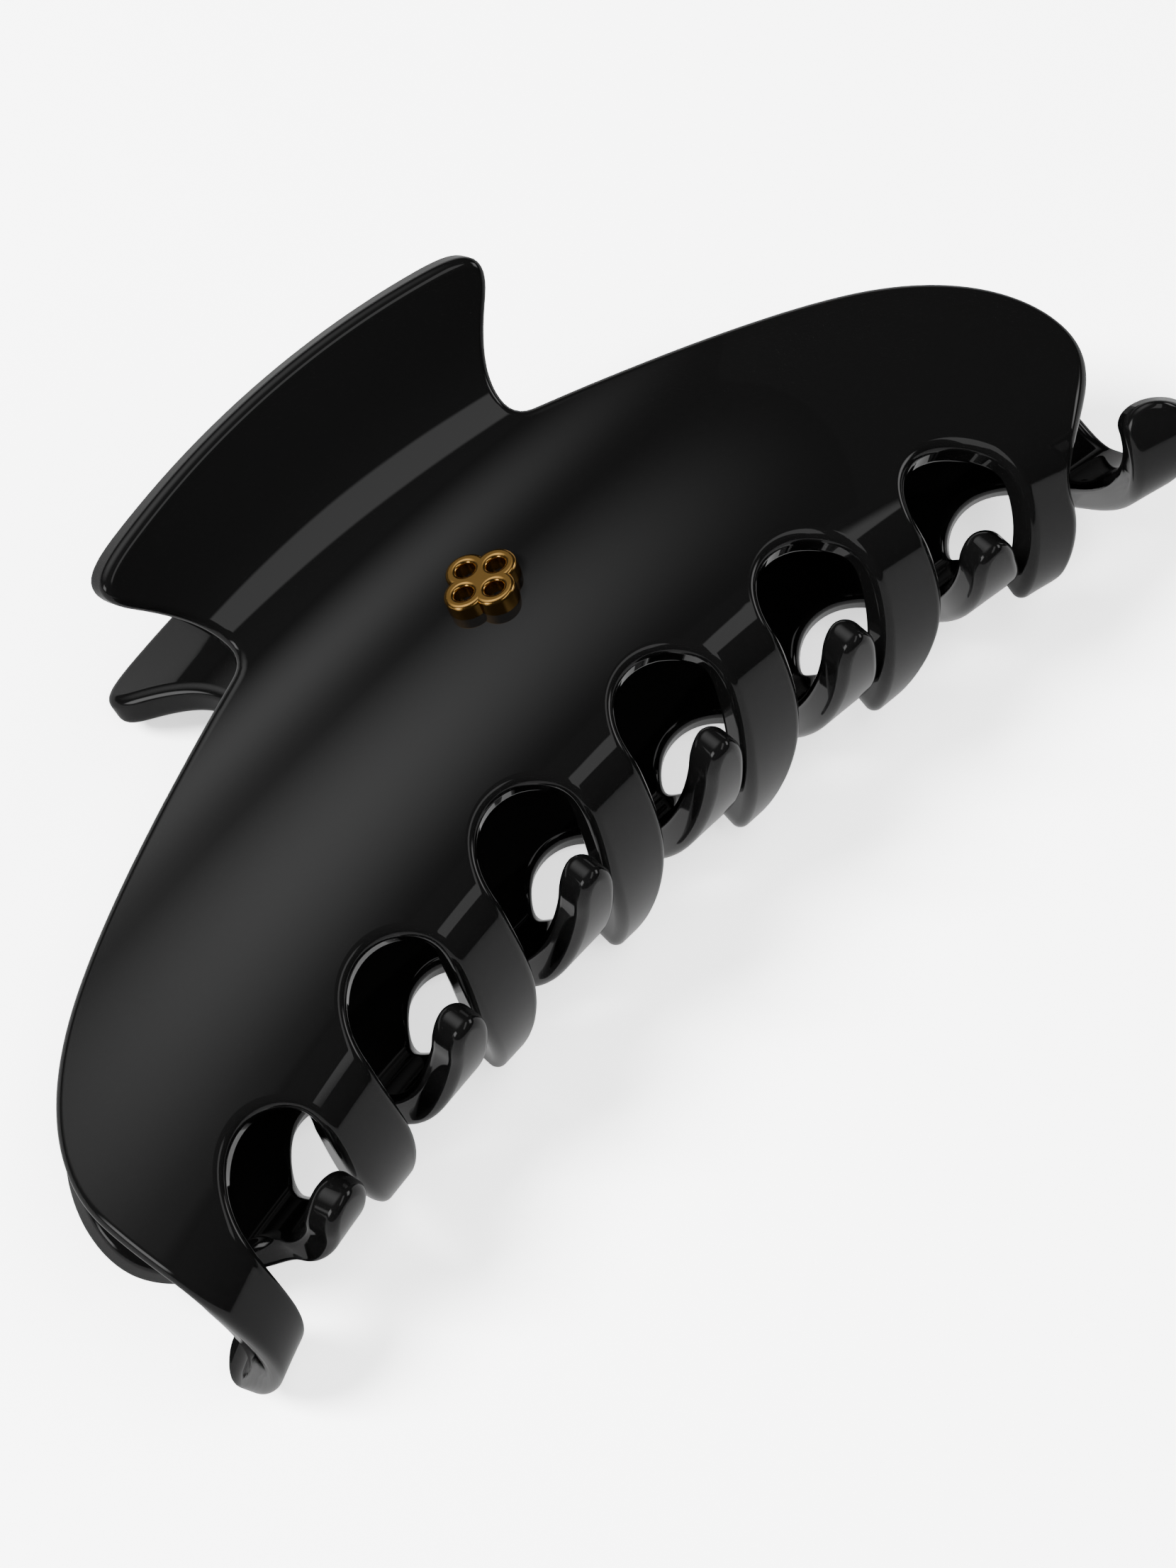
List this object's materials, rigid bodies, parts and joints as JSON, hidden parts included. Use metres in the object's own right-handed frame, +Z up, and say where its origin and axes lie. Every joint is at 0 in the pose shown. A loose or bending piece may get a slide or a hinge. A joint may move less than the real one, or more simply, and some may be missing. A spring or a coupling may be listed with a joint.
{
  "type": "claw hair clip",
  "caption": "Large glossy claw hair clip: two interleaving toothed jaws on a sprung steel hinge, thumb handles, small gold ornament.",
  "frame": {"origin": "centre of the bounding box at its lowest point; the closed clip lies on its rear jaw as in the picture", "axes": "+X along the clip and its hinge pin, +Y towards the thumb handles (teeth towards -Y), +Z up through the front jaw"},
  "size_m": [0.1332, 0.0686, 0.0389],
  "materials": {
    "black_acetate": "polished",
    "gold": "polished",
    "hinge_steel": "satin nickel",
    "spring_steel": "drawn wire",
    "screw_steel": "satin nickel",
    "bush_plastic": "matte"
  },
  "bodies": {
    "rear_half": {"rear_jaw": "black_acetate", "rear_leaf": "hinge_steel", "rear_screw_left": "screw_steel", "rear_screw_right": "screw_steel", "hinge_pin": "hinge_steel", "pin_cap": "hinge_steel", "spring_bush": "bush_plastic", "torsion_spring": "spring_steel"},
    "front_half": {"front_jaw": "black_acetate", "ornament": "gold", "front_leaf": "hinge_steel", "front_screw_left": "screw_steel", "front_screw_right": "screw_steel"}
  },
  "joints": [
    {"name": "jaw_hinge", "type": "hinge", "parent": "rear_half", "child": "front_half", "pos_m": [0, 0.01651, 0.01927], "axis": [-1, 0, 0], "range_deg": [0, 45], "stiffness_Nm_per_rad": 0.35, "springref_deg": -34.38, "deforming": ["torsion_spring"]}
  ]
}
